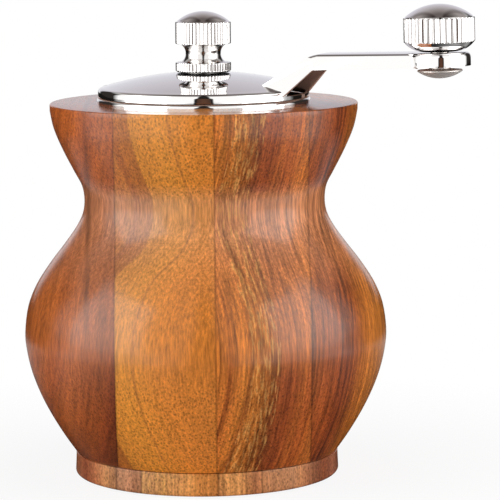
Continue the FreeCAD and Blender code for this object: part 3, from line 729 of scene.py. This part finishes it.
def crank_cap(material, inside):
    # about once in ten times a cut in the thin sheet fails and leaves it open: it is made again
    piece = pressing(material, inside)
    tries = 1
    while not is_closed(piece) and tries < 8:
        bpy.data.objects.remove(piece)
        piece = pressing(material, inside)
        tries += 1
    piece.name = "pressed_crank"
    apply_modifier(piece, "BEVEL", width=0.22 * MM, segments=2, limit_method="ANGLE",
                   angle_limit=math.radians(40))
    smooth(piece, 30)
    finish_piece(piece, "crank", "crank_cap")


def knob_pin(material):
    points = outline(
        (0, 8.7), (2.1, 8.7), (2.5, 8.2), (2.1, 8.2), (2.1, 7.3), (2.5, 7.3), (2.5, -1.02),
        (2.9, -1.02), (2.9, -4.4), (5.7, -4.7), ("arc", (6.15, -4.85), (6.2, -5.1), 3),
        crown((6.2, -5.1), -7.1, 10))
    piece = turned("knob_spindle", points, 64)
    piece.data.transform(TO_KNOB)
    smooth(piece)
    finish_piece(piece, "crank", "knob_pin", material)


def crank_knob(material, shade_in_grooves):
    radius, flutes, per_flute = 9.7, 40, 8
    points = outline(
        (2.55, 0.2), (4.2, 0.2), ("arc", (7.6, 1.1), (9.45, 2.75), 12), (9.6, 2.85),
        (radius, 3.0), (radius, 3.3), (radius, 9.0), (radius, 9.3), (9.6, 9.45), (9.3, 9.5),
        (5.5, 9.5), (5.5, 7.0), (2.55, 7.0), (2.55, 0.2))
    piece = turned("fluted_knob", points, flutes * per_flute)
    piece.data.materials.append(material)
    piece.data.materials.append(shade_in_grooves)
    flute(piece, radius, 0.34, flutes, per_flute)
    piece.data.transform(TO_KNOB)
    smooth(piece, 40)
    finish_piece(piece, "knob", "crank_knob")


def knob_cap(material):
    rim = (9.25, 9.7)
    points = outline((0, 8.9), (5.45, 8.9), (5.45, 9.55), (9.15, 9.55), rim, crown(rim, 13.1, 14))
    piece = turned("knob_button", points, 96)
    piece.data.transform(TO_KNOB)
    smooth(piece)
    finish_piece(piece, "knob", "knob_cap", material)


def adjusting_nut(material, shade_in_grooves, neck):
    radius, flutes, per_flute = 7.75, 48, 8
    shoulder = (7.4, 127.45)
    points = outline(
        (3.05, 113.75), (7.6, 113.75), (7.7, 113.8), (radius, 113.95), (radius, 114.15),
        (radius, 115.7), (radius, 115.9), (7.7, 116.05), (7.55, 116.1), (6.3, 116.15),
        ("arc", (4.9, 118.6), (6.3, 121.15), 16), (7.55, 121.3), (7.7, 121.35),
        (radius, 121.5), (radius, 121.7), (radius, 127.0), (radius, 127.2), (7.65, 127.35),
        shoulder, crown(shoulder, 130.3, 14))
    points += [(0.0, 126.8), (3.05, 126.8), (3.05, 113.75)]
    piece = turned("knurled_nut", points, flutes * per_flute)
    piece.data.materials.append(material)
    piece.data.materials.append(shade_in_grooves)
    piece.data.materials.append(neck)
    flute(piece, radius, 0.2, flutes, per_flute)
    # the concave neck gets the darker plate: painted shade in the recess
    paint(piece, lambda co, normal: 116.12 < co.z < 121.2 and math.hypot(co.x, co.y) > 4, 2)
    smooth(piece, 40)
    finish_piece(piece, "nut", "adjusting_nut")


# ---- studio -----------------------------------------------------------------------------
CAMERA_AWAY, CAMERA_HEIGHT = 0.8089, 0.1714
CAMERA_ROLL = -0.0078
AIM_ACROSS, AIM_HEIGHT = 0.01263, 0.06302
LENS_MM = 208.63


def add_camera():
    data = bpy.data.cameras.new("camera")
    camera = bpy.data.objects.new("camera", data)
    bpy.context.scene.collection.objects.link(camera)
    place = TOWARDS * CAMERA_AWAY + Vector((0, 0, CAMERA_HEIGHT))
    aim = ACROSS * AIM_ACROSS + Vector((0, 0, AIM_HEIGHT))
    forward = (aim - place).normalized()
    right = forward.cross(Vector((0, 0, 1))).normalized()
    up = right.cross(forward)
    leaned = right * math.cos(CAMERA_ROLL) + up * math.sin(CAMERA_ROLL)
    upright = up * math.cos(CAMERA_ROLL) - right * math.sin(CAMERA_ROLL)
    turn = Matrix((leaned, upright, -forward)).transposed().to_4x4()
    camera.matrix_world = Matrix.Translation(place) @ turn
    data.sensor_width = 36.0
    data.lens = LENS_MM
    data.clip_start = 0.01
    bpy.context.scene.camera = camera


SOFTBOX_AWAY, SOFTBOX_WIDTH = 0.75, 0.75


def softbox(name, azimuth, distance, width, low, high, radiance):
    """Upright lamp beside the mill; azimuth is from the viewer, positive to the right."""
    data = bpy.data.lights.new(name, "AREA")
    data.shape = "RECTANGLE"
    data.size = width
    data.size_y = high - low
    data.energy = radiance * math.pi * width * (high - low)
    lamp = bpy.data.objects.new(name, data)
    bpy.context.scene.collection.objects.link(lamp)
    turn = math.radians(azimuth)
    place = (TOWARDS * math.cos(turn) + ACROSS * math.sin(turn)) * distance
    place.z = (low + high) / 2
    aim = Vector((-place.x, -place.y, 0))
    lamp.location = place
    lamp.rotation_euler = aim.to_track_quat("-Z", "Y").to_euler()


def turn_from_viewer(tree, place):
    """Angle round the mill, 0 towards the viewer and 1 straight behind, the same on both sides."""
    front = measured(tree, "DOT_PRODUCT", place, TOWARDS)
    side = measured(tree, "DOT_PRODUCT", place, ACROSS)
    azimuth = reckoned(tree, "ABSOLUTE", reckoned(tree, "ARCTAN2", side, front))
    return reckoned(tree, "DIVIDE", azimuth, math.pi)


def by_angle(tree, share, stops):
    """Colours round the mill by angle from the viewer, in degrees."""
    return colour_ramp(tree, share, stops, 0, 180)


DARK_FLAG = "#2E2B29"
SIDE_WALL = "#97918F"
STAND, STAND_BROWN = "#262423", "#5E4031"
CLOTH = (1.15, 1.15, 1.14, 1)
ROOM_LIGHT = (0.3, 0.3, 0.315, 1)
WHITE = (1, 1, 1, 1)


def add_world():
    """Plain white room. Shiny pieces also see the grey ceiling and side walls, the lilac-grey
    wall behind the mill, a dark flag on each side of it, and the dark camera stand."""
    world = bpy.data.worlds.new("studio")
    bpy.context.scene.world = world
    world.use_nodes = True
    tree = world.node_tree
    tree.nodes.clear()
    look = add(tree, "TexCoord").outputs["Generated"]
    share = turn_from_viewer(tree, look)
    height = add(tree, "SeparateXYZ", {"Vector": look}).outputs["Z"]

    # the wall behind, by height, and where it starts, by azimuth
    behind = colour_ramp(tree, height, [
        (0.0, "#F2F2F6"), (0.17, "#E0DFE7"), (0.45, "#CCC8CF"), (0.65, "#BAB5B8"),
        (0.84, "#948C8A"), (0.94, "#6C6461")])
    is_behind = mapped(tree, share, 0.8, 0.87)
    # white cloth in front and beside, up to the ceiling
    overhead = mapped(tree, height, 0.78, 0.96)
    cloth = mixed_colour(tree, overhead, CLOTH, colour("#756D6A"))
    room = mixed_colour(tree, is_behind, cloth, behind)

    flags = by_angle(tree, share, [(106, "#FFFFFF"), (116, DARK_FLAG), (152, DARK_FLAG),
                                   (160, "#FFFFFF")])
    low_down = mapped(tree, height, 0.62, 0.45)
    # over the flags the side walls are grey
    walls = by_angle(tree, share, [(70, "#FFFFFF"), (100, SIDE_WALL), (152, SIDE_WALL),
                                   (165, "#FFFFFF")])
    high_up = mapped(tree, height, 0.5, 0.62)
    # the camera stand: a dark arch 11 degrees to each side, brown inside
    wide = reckoned(tree, "MULTIPLY", share, 180 / 11)
    tall = reckoned(tree, "MAXIMUM", reckoned(tree, "MULTIPLY", height, 1 / 0.42), 0.0)
    arch_reach = measured(tree, "LENGTH", point(tree, wide, tall))
    stand = colour_ramp(tree, arch_reach, [(0.0, STAND_BROWN), (0.6, "#4A352B"), (0.72, STAND),
                                           (0.88, STAND), (1.0, "#FFFFFF")])
    # over the stand a dark slit runs up between the two halves of the cloth
    slit = by_angle(tree, share, [(0, STAND), (6, STAND), (8, "#FFFFFF")])
    over_stand = mapped(tree, height, 0.2, 0.35)
    for dark, amount in ((flags, low_down), (walls, high_up), (stand, 1.0), (slit, over_stand)):
        room = mixed_colour(tree, amount, room, dark, "MULTIPLY")

    rays = add(tree, "LightPath").outputs
    shone = mixed_colour(tree, rays["Is Glossy Ray"], ROOM_LIGHT, room)
    seen = mixed_colour(tree, rays["Is Camera Ray"], shone, WHITE)
    light = add(tree, "Background", {"Color": seen})
    add(tree, "OutputWorld", {"Surface": light.outputs[0]})


def table_glare(tree, place, reach, share):
    """How bright the table is in reflections: shaded close to the mill, brightest beside it."""
    near = colour_ramp(tree, reach, [(0.06, "#303030"), (0.085, "#666666"), (0.12, "#9A9A9A"),
                                     (0.16, "#C4C4C4"), (0.22, "#FFFFFF")])
    beside = mapped(tree, share, 14 / 180, 32 / 180, 0.8, 1.8)
    past = mapped(tree, share, 85 / 180, 102 / 180, 1.0, 0.22)
    # close to the mill the right side is the more shaded one
    to_right = mapped(tree, measured(tree, "DOT_PRODUCT", place, ACROSS), -0.02, 0.04, 0.0, 0.5)
    close = mapped(tree, reach, 0.2, 0.13)
    unshaded = reckoned(tree, "SUBTRACT", 1.0, product(tree, to_right, close))
    return product(tree, beside, past, near, unshaded)


def add_floor():
    """White table. Near the mill it keeps a soft shadow; farther out it is lit to plain white,
    which is what the shiny pieces see."""
    bpy.ops.object.select_all(action="DESELECT")
    bpy.ops.mesh.primitive_plane_add(size=6)
    floor = bpy.context.object
    floor.name = "floor"
    material, tree, shader = new_material("white_table")
    shader.inputs["Base Color"].default_value = colour("#F2F2F2")
    shader.inputs["Roughness"].default_value = 0.9
    shader.inputs["Specular IOR Level"].default_value = 0.0
    place = add(tree, "TexCoord").outputs["Object"]
    reach = measured(tree, "LENGTH", place)
    share = turn_from_viewer(tree, place)
    glare = table_glare(tree, place, reach, share)

    # mirrored in the table: the camera stand from 0.1 m out, the dark flags from 0.3 m out
    stand = by_angle(tree, share, [(0, "#6A4632"), (7.5, "#6A4632"), (8.5, "#2E2A28"),
                                   (10, "#2E2A28"), (11.5, "#FFFFFF")])
    flags = by_angle(tree, share, [(106, "#FFFFFF"), (114, DARK_FLAG), (160, DARK_FLAG),
                                   (168, "#8A8888")])
    dark = WHITE
    for mirrored, starts, full in ((stand, 0.07, 0.1), (flags, 0.2, 0.3)):
        out = mapped(tree, reach, starts, full)
        dark = mixed_colour(tree, out, dark, mirrored, "MULTIPLY")

    # the camera sees plain white with the shadow in it; reflections see the glare
    rays = add(tree, "LightPath").outputs
    lit = mapped(tree, reach, 0.05, 0.16, 0.88, 1.0)
    level = mixed_value(tree, rays["Is Camera Ray"], glare, 1.0)
    tint = mixed_colour(tree, rays["Is Camera Ray"], dark, WHITE)
    white = add(tree, "Emission", {"Color": tint, "Strength": level})
    special = reckoned(tree, "MAXIMUM", rays["Is Camera Ray"], rays["Is Glossy Ray"])
    amount = mixed_value(tree, rays["Is Camera Ray"], special, lit)
    mix = add(tree, "MixShader", {0: amount, 1: shader.outputs[0], 2: white.outputs[0]})
    tree.links.new(mix.outputs[0], tree.nodes["Material Output"].inputs["Surface"])
    floor.data.materials.append(material)


# ---- the mill ---------------------------------------------------------------------------
scene = bpy.context.scene
scene.view_settings.view_transform = "Standard"

chrome = plated_chrome()
# the dull, brownish underside of the pressing is painted reflection of the wood; the grey grooves
# are painted shade
dull_painted_reflection_plate = bare_metal("underside_painted_reflection", "#C0A494", 0.5, 1.0, 0.06, metallic=0.3)
# painted shade in the grooves of knob and nut
painted_groove_shade_plate = satin_plate("painted_groove_shade", "#B2AEAC", 0.3)
# painted shade: the nut's concave neck gets a darker, satin copy of the chrome
neck_painted_shade_plate = satin_plate("painted_neck_shade_plate", "#E0DDDB", 0.12)
# the spindle's plate is soft and half metallic, and its pale beige is painted reflection
pin_painted_reflection_plate = satin_plate("painted_pale_reflection_plate", "#D6CFC8", 0.3, metallic=0.45)
wood = acacia_boards("lacquered_acacia", BODY_BOARDS, BODY_SEAMS, BODY_STREAK)
base_wood = acacia_boards("lacquered_acacia_base", BASE_BOARDS, BASE_SEAMS)

wooden_body(wood)
wooden_base(base_wood)
top_ring(chrome, dull_painted_reflection_plate)
crank_cap(chrome, dull_painted_reflection_plate)
knob_pin(pin_painted_reflection_plate)
crank_knob(chrome, painted_groove_shade_plate)
knob_cap(chrome)
adjusting_nut(chrome, painted_groove_shade_plate, neck_painted_shade_plate)

sheet_steel = bare_metal("rolled_steel", "#B9B7B4", 0.28, 1.5, 0.06)
burr_steel = bare_metal("hardened_burr_steel", "#7E7C7B", 0.35, 0.6, 0.08)
zinc = bare_metal("die_cast_zinc", "#9A9A9B", 0.45, 0.9, 0.08)
bronze = bare_metal("sintered_bronze", "#B48A55", 0.5, 0.4, 0.08)
cup_plastic = soft_material("moulded_black_plastic", "#1D1A18", 0.42, 0.5, 0.01)
nylon = soft_material("turned_black_nylon", "#191817", 0.4, 0.8, 0.005)
rubber = soft_material("seal_rubber", "#161514", 0.6, 0.3, 0.01)
felt = soft_material("pressed_wool_felt", "#2A2622", 0.95, 0.25, 0.12)

FINISHES = {
    "upper_bridge": sheet_steel, "upper_bush": bronze, "burr_housing": zinc,
    "outer_burr": burr_steel, "burr_clip": sheet_steel, "lower_bridge": zinc,
    "lower_bush": bronze, "housing_screws": sheet_steel, "cup_sleeve": sheet_steel,
    "drive_collar": sheet_steel, "collar_clip": sheet_steel, "drive_shaft": sheet_steel,
    "inner_burr": burr_steel, "burr_washer": sheet_steel, "burr_nut": sheet_steel,
    "spring_seat": sheet_steel, "adjusting_spring": sheet_steel, "crank_hub": sheet_steel,
    "knob_clip": sheet_steel, "nut_washer": nylon, "grounds_cup": cup_plastic,
    "cup_seal": rubber, "base_screws": sheet_steel, "felt_foot": felt}
for node_name, finish in FINISHES.items():
    mesh = frame["nodes"][node_name].data
    mesh.materials.clear()
    mesh.materials.append(finish)

add_floor()
add_world()
# each softbox gets dimmer towards the table
for low, high, radiance in [(0.10, 0.80, 2.8), (0.035, 0.10, 2.2), (0.0, 0.035, 1.6)]:
    softbox("softbox_left", -66, SOFTBOX_AWAY, SOFTBOX_WIDTH, low, high, radiance)
    softbox("softbox_right", 68, SOFTBOX_AWAY, SOFTBOX_WIDTH, low, high, radiance)
add_camera()
